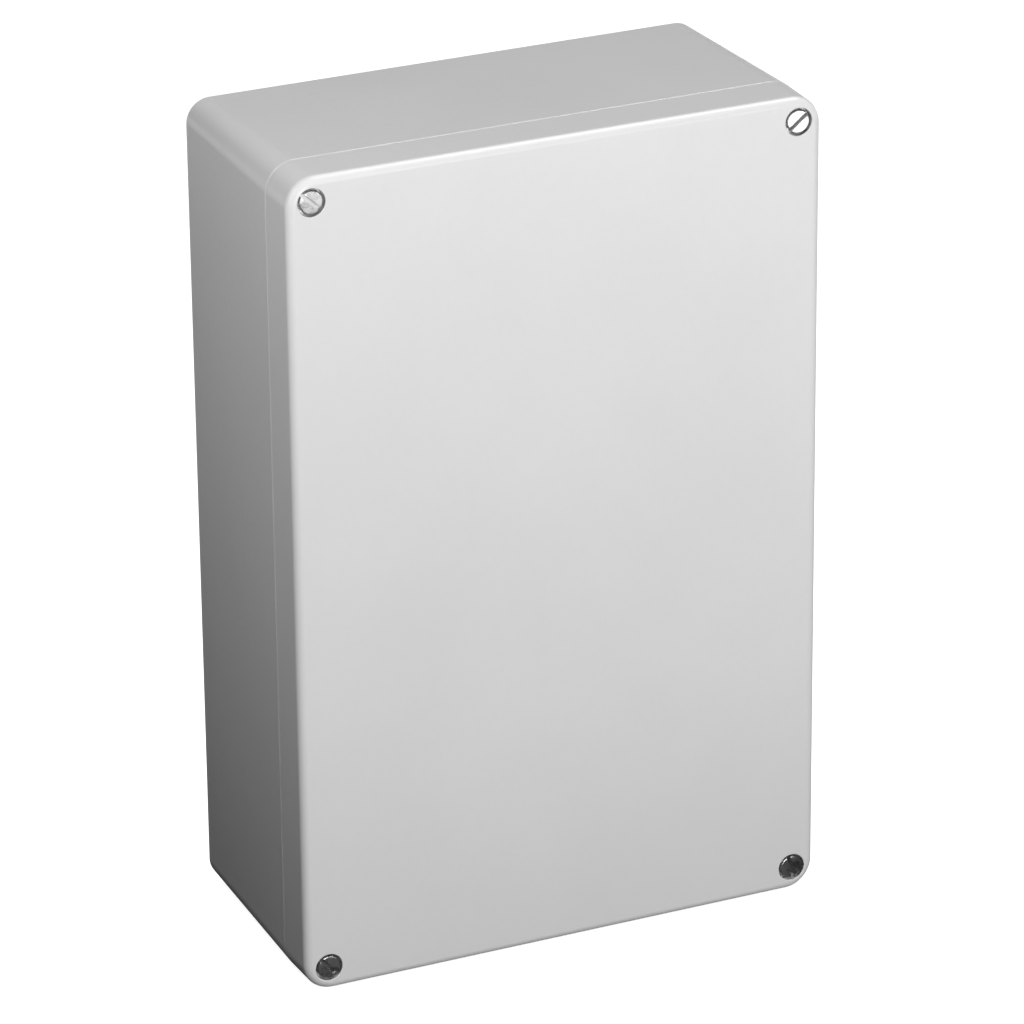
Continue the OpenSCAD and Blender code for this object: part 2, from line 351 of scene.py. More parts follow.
            Bench.pick(
                piece,
                Element.VERTEX,
                lambda c: abs(abs(c.x) - inner_x) < MERGE and abs(abs(c.y) - inner_y) < MERGE,
            )
            Bench.round_points(SIZES.block_radius - grow, steps)
        return piece

    @staticmethod
    def round_points(radius: float, steps: int) -> None:
        """Rounds the selected corners of a flat outline."""
        bpy.ops.mesh.bevel(offset=radius, affect="VERTICES", segments=steps, profile=0.5, clamp_overlap=False)

    @staticmethod
    def taper_out(piece: Piece, taper: float, depth: float) -> None:
        """Draws the end face of a plate out along its normal, drawn in by taper on all sides."""
        with Bench.editing(piece, Element.FACE):
            bpy.ops.mesh.inset(thickness=taper, depth=depth, use_even_offset=True, use_boundary=True)

    @staticmethod
    def draw_out(piece: Piece, level: float, depth: float) -> None:
        """Extrudes the faces that lie at one height along z."""
        with Bench.editing(piece, Element.FACE):
            Bench.pick(piece, Element.FACE, lambda c: abs(c.z - level) < MERGE)
            bpy.ops.mesh.extrude_region_move(TRANSFORM_OT_translate={"value": (0, 0, depth)})

    @staticmethod
    def stepped_ring(name: str, middle: float, width: float, level: float, drop: float) -> Piece:
        """Closed ring that follows the cavity's outline.

        Args:
            name: Name of the piece.
            middle: Distance from the cavity's outline out to the middle of the ring.
            width: Width of the ring.
            level: Height of its first face.
            drop: How far it reaches below that, negative when it reaches above.

        Returns:
            The ring.
        """
        ring = Bench.stepped_plate(name, middle + width / 2, level)
        with Bench.editing(ring, Element.FACE):
            bpy.ops.mesh.inset(thickness=width, depth=0, use_even_offset=True, use_boundary=True)
            bpy.ops.mesh.delete(type="FACE")
            bpy.ops.mesh.select_all(action="SELECT")
            bpy.ops.mesh.extrude_region_move(TRANSFORM_OT_translate={"value": (0, 0, -drop)})
            bpy.ops.mesh.select_all(action="SELECT")
            bpy.ops.mesh.remove_doubles(threshold=MERGE)
            bpy.ops.mesh.normals_make_consistent(inside=False)
        return ring

    @staticmethod
    def brick(name: str, size: tuple[float, float, float], place: tuple[float, float, float]) -> Piece:
        """Rectangular block of a given size, with its middle at a place."""
        Bench.clear()
        bpy.ops.mesh.primitive_cube_add(size=1)
        piece = Bench.named(name)
        with Bench.editing(piece):
            bpy.ops.transform.resize(value=size)
            bpy.ops.transform.translate(value=place)
        return piece

    @staticmethod
    def round_picked(radius: float, steps: int = 3) -> None:
        """Rounds the selected edges."""
        bpy.ops.mesh.bevel(offset=radius, offset_type="OFFSET", affect="EDGES", segments=steps, profile=0.5)

    @staticmethod
    def turned(name: str, profile: Profile, steps: int = 64) -> Piece:
        """Spins a profile about the z axis into a closed piece.

        Args:
            name: Name of the piece.
            profile: Points as radius and height. It starts and ends on the axis, or on the same point.
            steps: Number of steps in the turn.

        Returns:
            The turned piece.
        """
        Bench.clear()
        bpy.ops.mesh.primitive_plane_add(size=MM)
        piece = Bench.named(name)
        with Bench.editing(piece):
            bpy.ops.mesh.merge(type="CENTER")
            bpy.ops.transform.translate(value=(profile[0][0], 0, profile[0][1]))
            for here, there in zip(profile, profile[1:]):
                step = (there[0] - here[0], 0, there[1] - here[1])
                bpy.ops.mesh.extrude_region_move(TRANSFORM_OT_translate={"value": step})
            bpy.ops.mesh.select_all(action="SELECT")
            bpy.ops.mesh.spin(steps=steps, angle=math.tau, center=(0, 0, 0), axis=(0, 0, 1))
            bpy.ops.mesh.select_all(action="SELECT")
            bpy.ops.mesh.remove_doubles(threshold=MERGE)
            bpy.ops.mesh.normals_make_consistent(inside=False)
        return piece

    @staticmethod
    def thread_rod(name: str, major: float, minor: float, pitch: float, low: float, high: float) -> Piece:
        """Winds a right-handed thread round the z axis, with flat ends.

        Args:
            name: Name of the piece.
            major: Radius at the crests.
            minor: Radius at the roots.
            pitch: Rise in one turn. Every thread starts at a whole number of pitches above z = 0.
            low: Height of the lower end.
            high: Height of the upper end.

        Returns:
            The closed rod.
        """
        start = (math.floor(low / pitch) - 2) * pitch
        turns = math.ceil((high - start) / pitch) + 2
        flank = pitch * 5 / 16
        points = [
            (minor, 0), (minor, pitch / 8), (major, pitch / 8 + flank), (major, pitch / 4 + flank),
            (minor, pitch / 4 + 2 * flank), (minor, pitch),
        ]
        Bench.clear()
        bpy.ops.mesh.primitive_plane_add(size=MM)
        piece = Bench.named(name)
        with Bench.editing(piece):
            bpy.ops.mesh.merge(type="CENTER")
            bpy.ops.transform.translate(value=(minor, 0, start))
            for here, there in zip(points, points[1:]):
                step = (there[0] - here[0], 0, there[1] - here[1])
                bpy.ops.mesh.extrude_region_move(TRANSFORM_OT_translate={"value": step})
        winding = piece.modifiers.new("winding", "SCREW")
        winding.axis = "Z"
        winding.angle = math.tau
        winding.screw_offset = pitch
        winding.iterations = turns
        winding.steps = winding.render_steps = 40
        winding.use_merge_vertices = False
        bpy.ops.object.modifier_apply(modifier=winding.name)
        with Bench.editing(piece):
            bpy.ops.mesh.remove_doubles(threshold=MERGE)
            for level, below in ((low, True), (high, False)):
                bpy.ops.mesh.select_all(action="SELECT")
                bpy.ops.mesh.bisect(
                    plane_co=(0, 0, level), plane_no=(0, 0, 1), use_fill=True,
                    clear_inner=below, clear_outer=not below, threshold=1e-7,
                )
            bpy.ops.mesh.select_all(action="SELECT")
            bpy.ops.mesh.normals_make_consistent(inside=False)
        return piece

    @staticmethod
    def join(piece: Piece, tool: Piece, operation: str = "UNION") -> Piece:
        """Joins, cuts or crosses a piece with a tool, which is used up.

        Args:
            piece: The piece that keeps its name.
            tool: The other piece. Its materials come along on the faces it makes.
            operation: UNION, DIFFERENCE or INTERSECT.

        Returns:
            The piece.
        """
        Bench.take(piece)
        cut = piece.modifiers.new("cut", "BOOLEAN")
        cut.operation = operation
        cut.solver = "EXACT"
        cut.material_mode = "TRANSFER"
        cut.object = tool
        bpy.ops.object.modifier_apply(modifier=cut.name)
        bpy.data.objects.remove(tool)
        return piece

    @staticmethod
    def cut(piece: Piece, tool: Piece) -> Piece:
        """Cuts a tool out of a piece. The tool is used up."""
        return Bench.join(piece, tool, "DIFFERENCE")

    @staticmethod
    def placed(piece: Piece, places: Places) -> Piece:
        """Moves a piece to the first place and sets a copy, in the same mesh, at each other one."""
        with Bench.editing(piece):
            bpy.ops.transform.translate(value=(*places[0], 0))
            for here, there in zip(places, places[1:]):
                step = (there[0] - here[0], there[1] - here[1], 0)
                bpy.ops.mesh.duplicate_move(TRANSFORM_OT_translate={"value": step})
        return piece

    @staticmethod
    def twin(piece: Piece, name: str) -> Piece:
        """Copies a piece, mesh and all, under a new name."""
        Bench.take(piece)
        bpy.ops.object.duplicate()
        return Bench.named(name)

    @staticmethod
    def coat(piece: Piece, material: Material) -> Piece:
        """Gives a piece its first material."""
        piece.data.materials.clear()
        piece.data.materials.append(material)
        return piece

    @staticmethod
    def bare(piece: Piece, material: Material, test: Test) -> int:
        """Gives the faces whose middle passes a test another material, and returns their number."""
        slots = piece.data.materials
        if slots.find(material.name) < 0:
            slots.append(material)
        index = slots.find(material.name)
        chosen = [f for f in piece.data.polygons if test(f.center)]
        for polygon in chosen:
            polygon.material_index = index
        return len(chosen)

    @staticmethod
    def smooth(piece: Piece, angle: float = SMOOTH_ANGLE) -> None:
        """Smooths the shading over shallow edges and keeps the flat faces flat."""
        with Bench.editing(piece):
            bpy.ops.mesh.remove_doubles(threshold=MERGE)
        Bench.take(piece)
        bpy.ops.object.shade_smooth_by_angle(angle=angle)
        weighting = piece.modifiers.new("weighting", "WEIGHTED_NORMAL")
        weighting.keep_sharp = True
        weighting.weight = 100
        bpy.ops.object.modifier_apply(modifier=weighting.name)

    @staticmethod
    def stand(piece: Piece) -> Piece:
        """Turns a piece from its modelling position up into the model's frame, and applies the move."""
        Bench.take(piece)
        piece.rotation_euler = (math.pi / 2, 0, 0)
        piece.location = (0, SIZES.depth / 2, SIZES.height / 2)
        bpy.ops.object.transform_apply(location=True, rotation=True, scale=True)
        return piece


# ---------------------------------------------------------------- finishes


class Wiring:
    """Adds and joins shader nodes in one tree."""

    def __init__(self, tree: Tree) -> None:
        """Starts with an empty tree."""
        self.tree = tree
        tree.nodes.clear()

    def add(self, kind: str, **settings: object) -> Node:
        """Adds a node and sets its properties."""
        node = self.tree.nodes.new(kind)
        for name, value in settings.items():
            setattr(node, name, value)
        return node

    def link(self, source: Socket, target: Socket) -> None:
        """Joins an output to an input."""
        self.tree.links.new(source, target)

    def maths(self, operation: str, first: object, second: object = None) -> Socket:
        """Adds a Math node.

        Args:
            operation: Name of the operation.
            first: A number, or the socket that feeds it.
            second: The same for the other operand.

        Returns:
            The node's output.
        """
        node = self.add("ShaderNodeMath", operation=operation)
        for socket, value in zip(node.inputs, (first, second)):
            if isinstance(value, Socket):
                self.link(value, socket)
            elif value is not None:
                socket.default_value = value
        return node.outputs[0]

    def remap(self, value: Socket, given: Span = (0.0, 1.0), made: Span = (0.0, 1.0)) -> Socket:
        """Stretches the range given of a value to the range made, and clamps it."""
        node = self.add("ShaderNodeMapRange")
        for name, number in zip(("From Min", "From Max", "To Min", "To Max"), (*given, *made)):
            node.inputs[name].default_value = number
        self.link(value, node.inputs["Value"])
        return node.outputs["Result"]


def new_group(
    name: str, inputs: Sequence[tuple[str, str, object]], outputs: Sequence[tuple[str, str]]
) -> tuple[Wiring, Node, Node]:
    """Starts a shader node group with named sockets.

    Args:
        name: Name of the group.
        inputs: Name, socket kind and default value of each input.
        outputs: Name and socket kind of each output.

    Returns:
        The wiring, the group's input node and its output node.
    """
    tree = bpy.data.node_groups.new(name, "ShaderNodeTree")
    for label, kind, value in inputs:
        socket = tree.interface.new_socket(name=label, in_out="INPUT", socket_type=kind)
        if value is not None:
            socket.default_value = value
    for label, kind in outputs:
        tree.interface.new_socket(name=label, in_out="OUTPUT", socket_type=kind)
    wiring = Wiring(tree)
    return wiring, wiring.add("NodeGroupInput"), wiring.add("NodeGroupOutput")


@dataclass
class Effects:
    """Shader node groups that more than one finish uses, each built once."""

    grain: Tree = field(init=False)
    tone: Tree = field(init=False)
    rings: Tree = field(init=False)

    def __post_init__(self) -> None:
        """Builds the groups."""
        self.grain = self.build_grain()
        self.tone = self.build_tone()
        self.rings = self.build_rings()

    def build_grain(self) -> Tree:
        """Fine pebbled skin: two sizes of grain, as a height and as a mask of its hollows."""
        wiring, given, made = new_group(
            "FineGrain",
            [
                ("Place", "NodeSocketVector", None),
                ("Grains per metre", "NodeSocketFloat", 1500.0),
                ("Coarse share", "NodeSocketFloat", 0.4),
            ],
            [("Height", "NodeSocketFloat"), ("Hollows", "NodeSocketFloat")],
        )
        fine = wiring.add("ShaderNodeTexNoise", noise_dimensions="3D")
        fine.inputs["Detail"].default_value = 2.0
        fine.inputs["Roughness"].default_value = 0.55
        coarse = wiring.add("ShaderNodeTexNoise", noise_dimensions="3D")
        coarse.inputs["Detail"].default_value = 1.0
        wiring.link(given.outputs["Place"], fine.inputs["Vector"])
        wiring.link(given.outputs["Place"], coarse.inputs["Vector"])
        wiring.link(given.outputs["Grains per metre"], fine.inputs["Scale"])
        wiring.link(wiring.maths("MULTIPLY", given.outputs["Grains per metre"], 0.22), coarse.inputs["Scale"])
        mix = wiring.add("ShaderNodeMix", data_type="FLOAT")
        wiring.link(given.outputs["Coarse share"], mix.inputs["Factor"])
        wiring.link(fine.outputs["Fac"], mix.inputs["A"])
        wiring.link(coarse.outputs["Fac"], mix.inputs["B"])
        wiring.link(mix.outputs["Result"], made.inputs["Height"])
        wiring.link(wiring.remap(mix.outputs["Result"], (0.62, 0.38)), made.inputs["Hollows"])
        return wiring.tree

    def build_tone(self) -> Tree:
        """Slow change of tone over a surface, between two colours, with fine mottling and painted shade on
        top.
        """
        wiring, given, made = new_group(
            "SlowTone",
            [
                ("Place", "NodeSocketVector", None),
                ("Light", "NodeSocketColor", (0.6, 0.6, 0.6, 1)),
                ("Dark", "NodeSocketColor", (0.5, 0.5, 0.5, 1)),
                ("Patches per metre", "NodeSocketFloat", 12.0),
                ("Mottle and shade", "NodeSocketFloat", 0.0),
            ],
            [("Color", "NodeSocketColor"), ("Mask", "NodeSocketFloat")],
        )
        patches = wiring.add("ShaderNodeTexNoise", noise_dimensions="3D")
        patches.inputs["Detail"].default_value = 3.0
        wiring.link(given.outputs["Place"], patches.inputs["Vector"])
        wiring.link(given.outputs["Patches per metre"], patches.inputs["Scale"])
        spread = wiring.remap(patches.outputs["Fac"], (0.3, 0.7))
        total = wiring.maths("ADD", spread, given.outputs["Mottle and shade"])
        blend = wiring.add("ShaderNodeMix", data_type="RGBA")
        wiring.link(total, blend.inputs["Factor"])
        wiring.link(given.outputs["Light"], blend.inputs["A"])
        wiring.link(given.outputs["Dark"], blend.inputs["B"])
        wiring.link(blend.outputs["Result"], made.inputs["Color"])
        wiring.link(total, made.inputs["Mask"])
        return wiring.tree

    def build_rings(self) -> Tree:
        """Fine turning marks round an axis along Y, broken up by noise."""
        wiring, given, made = new_group(
            "TurnedRings",
            [("Place", "NodeSocketVector", None), ("Rings per metre", "NodeSocketFloat", 5000.0)],
            [("Height", "NodeSocketFloat"), ("Mask", "NodeSocketFloat")],
        )
        parts = wiring.add("ShaderNodeSeparateXYZ")
        wiring.link(given.outputs["Place"], parts.inputs[0])
        square = wiring.maths(
            "ADD",
            wiring.maths("MULTIPLY", parts.outputs["X"], parts.outputs["X"]),
            wiring.maths("MULTIPLY", parts.outputs["Z"], parts.outputs["Z"]),
        )
        radius = wiring.maths("MULTIPLY", wiring.maths("SQRT", square), given.outputs["Rings per metre"])
        height = wiring.add("ShaderNodeTexNoise", noise_dimensions="1D")
        height.inputs["Scale"].default_value = 1.0
        height.inputs["Detail"].default_value = 2.0
        wiring.link(radius, height.inputs["W"])
        wiring.link(height.outputs["Fac"], made.inputs["Height"])
        wiring.link(wiring.remap(height.outputs["Fac"], (0.35, 0.65)), made.inputs["Mask"])
        return wiring.tree


def use(wiring: Wiring, group: Tree, place: Socket, **values: object) -> Node:
    """Sets a group into a material.

    Args:
        wiring: The material's wiring.
        group: The node group.
        place: Socket with the surface's place.
        values: Input values by name, with _ for a space.

    Returns:
        The group node.
    """
    node = wiring.add("ShaderNodeGroup", node_tree=group)
    wiring.link(place, node.inputs["Place"])
    for name, value in values.items():
        node.inputs[name.replace("_", " ")].default_value = value
    return node


def new_material(name: str, colour: Colour, metallic: float) -> tuple[Material, Wiring, Node, Socket]:
    """Starts a material, with a shader that is wired to its output.

    Args:
        name: Name of the material.
        colour: Colour that it has in a plain viewport.
        metallic: Metallic value of the shader.

    Returns:
        The material, its wiring, the shader, and the socket with the surface's place.
    """
    material = bpy.data.materials.new(name)
    material.use_nodes = True
    material.diffuse_color = colour
    wiring = Wiring(material.node_tree)
    shader = wiring.add("ShaderNodeBsdfPrincipled")
    shader.inputs["Metallic"].default_value = metallic
    output = wiring.add("ShaderNodeOutputMaterial")
    wiring.link(shader.outputs["BSDF"], output.inputs["Surface"])
    return material, wiring, shader, wiring.add("ShaderNodeTexCoord").outputs["Object"]


def raise_grain(wiring: Wiring, shader: Node, height: Socket, strength: float, depth: float) -> None:
    """Feeds a height to a shader's normal through a Bump node."""
    bump = wiring.add("ShaderNodeBump")
    bump.inputs["Strength"].default_value = strength
    bump.inputs["Distance"].default_value = depth
    wiring.link(height, bump.inputs["Height"])
    wiring.link(bump.outputs["Normal"], shader.inputs["Normal"])


def grey(value: float, warmth: float = 0.0) -> Colour:
    """Neutral colour of one linear value, a little warmer or cooler."""
    return (value * (1 + warmth), value, value * (1 - warmth), 1.0)


@dataclass(frozen=True)
class SkinFinish:
    """Satin coat or moulded skin: slow tone, fine grain with painted shade in its hollows, and a roughness
    that follows the grain.
    """

    name: str
    light: Colour
    dark: Colour
    rough_low: float
    rough_high: float
    grains: float = 1500.0
    coarse_share: float = 0.4
    patches: float = 12.0
    bump: float = 0.25
    bump_depth: float = 0.05 * MM

    def build(self, effects: Effects) -> Material:
        """Builds the material.

        Args:
            effects: The shared node groups.

        Returns:
            The material.
        """
        material, wiring, shader, place = new_material(self.name, self.light, 0.0)
        grain = use(
            wiring, effects.grain, place, Grains_per_metre=self.grains, Coarse_share=self.coarse_share
        )
        tone = use(
            wiring, effects.tone, place,
            Light=self.light, Dark=self.dark, Patches_per_metre=self.patches,
        )
        # Painted shade: the colour darkens in the hollows of the grain.
        hollow_shade = wiring.maths("MULTIPLY", grain.outputs["Hollows"], 0.35)
        wiring.link(hollow_shade, tone.inputs["Mottle and shade"])
        wiring.link(tone.outputs["Color"], shader.inputs["Base Color"])
        rough = wiring.remap(grain.outputs["Hollows"], made=(self.rough_low, self.rough_high))
        wiring.link(rough, shader.inputs["Roughness"])
        raise_grain(wiring, shader, grain.outputs["Height"], self.bump, self.bump_depth)
        return material


@dataclass(frozen=True)
class TurnedFinish:
    """Bare turned or machined metal, with fine rings about an axis along Y."""

    name: str
    light: Colour
    dark: Colour
    rough_low: float
    rough_high: float
    axis: tuple[float, float] = (0.0, 0.0)
    rings: float = 5000.0
    bump: float = 0.2
    bump_depth: float = 0.01 * MM

    def build(self, effects: Effects) -> Material:
        """Builds the material.

        Args:
            effects: The shared node groups.

        Returns:
            The material.
        """
        material, wiring, shader, place = new_material(self.name, self.light, 1.0)
        centred = wiring.add("ShaderNodeMapping")
        centred.inputs["Location"].default_value = (-self.axis[0], 0, -self.axis[1])
        wiring.link(place, centred.inputs["Vector"])
        rings = use(wiring, effects.rings, centred.outputs["Vector"], Rings_per_metre=self.rings)
        tone = use(wiring, effects.tone, place, Light=self.light, Dark=self.dark, Patches_per_metre=300.0)
        wiring.link(wiring.maths("MULTIPLY", rings.outputs["Mask"], 0.3), tone.inputs["Mottle and shade"])
        wiring.link(tone.outputs["Color"], shader.inputs["Base Color"])
        rough = wiring.remap(tone.outputs["Mask"], made=(self.rough_low, self.rough_high))
        wiring.link(rough, shader.inputs["Roughness"])
        raise_grain(wiring, shader, rings.outputs["Height"], self.bump, self.bump_depth)
        return material


@dataclass
class Finishes:
    """Every material of the box."""

    effects: Effects = field(default_factory=Effects)
    coat: Material = field(init=False)
    machined: Material = field(init=False)
    rubber: Material = field(init=False)
    nylon: Material = field(init=False)
    brass: dict[str, Material] = field(init=False)
    spring_steel: dict[str, Material] = field(init=False)
    plated: dict[Corner, Material] = field(init=False)

    def __post_init__(self) -> None:
        """Builds the materials."""
        make = self.effects
        self.coat = SkinFinish(
            "satin_grey_coat", grey(0.60), grey(0.575), 0.36, 0.44, grains=1600.0, bump=0.22
        ).build(make)
        self.machined = TurnedFinish(
            "machined_aluminium", grey(0.78), grey(0.62), 0.24, 0.4, rings=2500.0
        ).build(make)
        self.rubber = SkinFinish(
            "black_rubber", grey(0.022), grey(0.016), 0.5, 0.68, grains=2500.0, bump=0.3
        ).build(make)
        self.nylon = SkinFinish(
            "white_nylon", grey(0.68, 0.02), grey(0.6, 0.03), 0.34, 0.46, grains=1800.0, bump=0.12
        ).build(make)
        earth_places = {"": -SIZES.earth_x, "lid_": SIZES.earth_x}
        self.brass = {
            prefix: TurnedFinish(
                f"{prefix}plated_brass", (0.86, 0.72, 0.42, 1), (0.7, 0.55, 0.28, 1), 0.2, 0.34,
                axis=(x, SIZES.height / 2 + SIZES.earth_y),
            ).build(make)
            for prefix, x in earth_places.items()
        }
        self.spring_steel = {
            prefix: TurnedFinish(
                f"{prefix}spring_steel", grey(0.5), grey(0.38), 0.28, 0.42,
                axis=(x, SIZES.height / 2 + SIZES.earth_y),
            ).build(make)
            for prefix, x in earth_places.items()
        }
        self.plated = {
            corner: TurnedFinish(
                f"plated_steel_{corner.label}", grey(0.62), grey(0.5), 0.22, 0.34,
                axis=(corner.value[0] * SIZES.screw_x, SIZES.height / 2 + corner.value[1] * SIZES.screw_y),
                rings=4000.0, bump=0.35,
            ).build(make)
            for corner in Corner
        }


# ---------------------------------------------------------------- castings


def four_places(x: float, y: float) -> list[Point]:
    """The four places (+-x, +-y), corner by corner."""
    return [(corner.value[0] * x, corner.value[1] * y) for corner in Corner]


@dataclass
class Casting:
    """What the two castings have in common: bosses, tapped holes, fillets and ejector marks."""

    finishes: Finishes
    sizes: BoxSizes = SIZES
    boss_radius: float = 5 * MM
    boss_draft: float = 0.4 * MM
    boss_fillet: float = 1.6 * MM
    boss_height: float = 6 * MM
    tap_major: float = 2.0 * MM
    tap_minor: float = 1.65 * MM
    tap_pitch: float = 0.7 * MM
    tap_depth: float = 7.5 * MM
    mouth_flare: float = 0.35 * MM
    mark_radius: float = 4 * MM
    mark_depth: float = 0.18 * MM
    mark_slope: float = 0.3 * MM
    boss_edge: float = 0.35 * MM
    ring_edge: float = 0.35 * MM
    drill_turn: float = 0.04
    over: float = 1 * MM

    def block(
        self, name: str, depth: float, draft: float, end_radius: float, parting_radius: float
    ) -> Piece:
        """Solid block with rounded corners and drafted walls, its wide end at the parting plane.

        Args:
            name: Name of the piece.
            depth: Depth of the block, negative when it reaches towards z = 0.
            draft: Draft of the walls in radians.
            end_radius: Radius of the edge round the far end.
            parting_radius: Radius of the edge at the parting plane.

        Returns:
            The block.
        """
        sizes = self.sizes
        block = Bench.rounded_plate(name, sizes.width, sizes.height, sizes.parting, sizes.corner_radius)
        Bench.taper_out(block, abs(depth) * math.tan(draft), depth)
        Bench.close_up(block)
        Bench.round_level(block, sizes.parting + depth, end_radius, 10, draft)
        Bench.round_level(block, sizes.parting, parting_radius, 5, -draft)
        return Bench.coat(block, self.finishes.coat)

    def cavity(self, rim: float, bottom: float, fillet: float) -> Piece:
        """Cutter for the cavity: a small flare at the rim and a fillet round its bottom.

        Args:
            rim: Height of the rim.
            bottom: Height of the cavity's bottom.
            fillet: Radius of the fillet.

        Returns:
            The cutter.
        """
        up = 1 if rim > bottom else -1
        flare = self.mouth_flare
        cutter = Bench.stepped_plate("cavity_cutter", self.over + flare, rim + up * self.over)
        Bench.taper_out(cutter, self.over + flare, -up * (self.over + flare))
        Bench.draw_out(cutter, rim - up * flare, bottom - rim + up * flare)
        Bench.close_up(cutter)
        Bench.round_level(cutter, bottom, fillet, 6)
        return Bench.coat(cutter, self.finishes.coat)

    def boss(self, radius: float, face: float, wall: float) -> Piece:
        """Cast boss with a rounded top edge and a fillet at its foot, sunk into the wall.

        Args:
            radius: Radius at the face.
            face: Height of the boss's face.
            wall: Height of the wall it stands on.

        Returns:
            The boss, on the z axis.
        """
        up = 1 if face > wall else -1
        foot = radius + self.boss_draft
        fillet = self.boss_fillet
        edge = self.boss_edge
        sunk = wall - up * 0.02 * MM
        curve = arc(foot + fillet, fillet, fillet, 180, 270, 6)
        profile = [(0.0, face), (radius - edge, face), (radius, face - up * edge)]
        profile += [(r, sunk + up * z) for r, z in curve]
        profile += [(foot + fillet, wall - up * 2 * MM), (0.0, wall - up * 2 * MM)]
        return Bench.coat(Bench.turned("boss", profile, 48), self.finishes.coat)

    def tapped(self, major: float, minor: float, pitch: float, mouth: float, end: float) -> Piece:
        """Cutter for a tapped blind hole: thread, drill point and a countersunk mouth.

        Args:
            major: Radius at the crests of the thread that goes in.
            minor: Radius at its roots.
            pitch: Thread pitch.
            mouth: Height of the mouth.
            end: Height where the full drill diameter ends.

        Returns:
            The cutter, on the z axis.
        """
        up = 1 if mouth > end else -1
        low, high = sorted((end + up * 0.5 * MM, mouth + up * 0.5 * MM))
        cutter = Bench.thread_rod("thread_cutter", major, minor, pitch, low, high)
        point = minor / math.tan(DRILL_HALF_ANGLE)
        sink = major - minor + 0.25 * MM
        core = minor - 0.01 * MM
        profile = [
            (0.0, end - up * point), (core, end), (core, mouth - up * sink),
            (core + sink + self.over, mouth + up * self.over), (0.0, mouth + up * self.over),
        ]
        drill = Bench.turned("drill_cutter", profile, 36)
        drill.rotation_euler = (0, 0, self.drill_turn)
        bpy.context.view_layer.update()
        Bench.join(cutter, drill)
        with Bench.editing(cutter):
            bpy.ops.mesh.remove_doubles(threshold=MERGE)
        return Bench.coat(cutter, self.finishes.machined)

    def mouth(self, radius: float, level: float, up: int) -> list[Point]:
        """Rounded mouth of a hole, from the hole's wall outwards.

        Args:
            radius: Radius of the hole.
            level: Height of the face it opens in.
            up: 1 when the open side is above the face, -1 when it is below.

        Returns:
            Points of the profile, the last one clear of the face.
        """
        curve = arc(radius + self.mouth_flare, -self.mouth_flare, self.mouth_flare, 180, 90, 4)
        points = [(r, level + up * z) for r, z in curve]
        return [*points, (radius + self.mouth_flare, level + up * self.over)]

    def bore(self, profile: Profile, places: Places, bare_radius: float = 0.0) -> Piece:
        """Cutter for round holes.

        Args:
            profile: Points between the two ends on the axis, which are added here.
            places: Where the holes lie.
            bare_radius: Walls no wider than this are left bare of coat.

        Returns:
            The cutter.
        """
        ends = [(0.0, profile[0][1]), *profile, (0.0, profile[-1][1])]
        cutter = Bench.coat(Bench.turned("hole_cutter", ends, 72), self.finishes.coat)
        Bench.bare(cutter, self.finishes.machined, lambda c: math.hypot(c.x, c.y) < bare_radius)
        return Bench.placed(cutter, places)

    def ejector_marks(self, wall: float, inwards: float, places: Places) -> Piece:
        """Cutter for the shallow round marks that the ejector pins leave.

        Args:
            wall: Height of the wall's face.
            inwards: 1 when the metal lies below the face, -1 when it lies above.
            places: Where the marks lie.

        Returns:
            The cutter.
        """
        radius, bottom, clear = self.mark_radius, wall - inwards * self.mark_depth, wall + inwards * self.over
        profile = [
            (0.0, bottom), (radius - self.mark_slope, bottom), (radius, wall), (radius, clear), (0.0, clear),
        ]
        cutter = Bench.turned("mark_cutter", profile, 40)
        return Bench.coat(Bench.placed(cutter, places), self.finishes.coat)


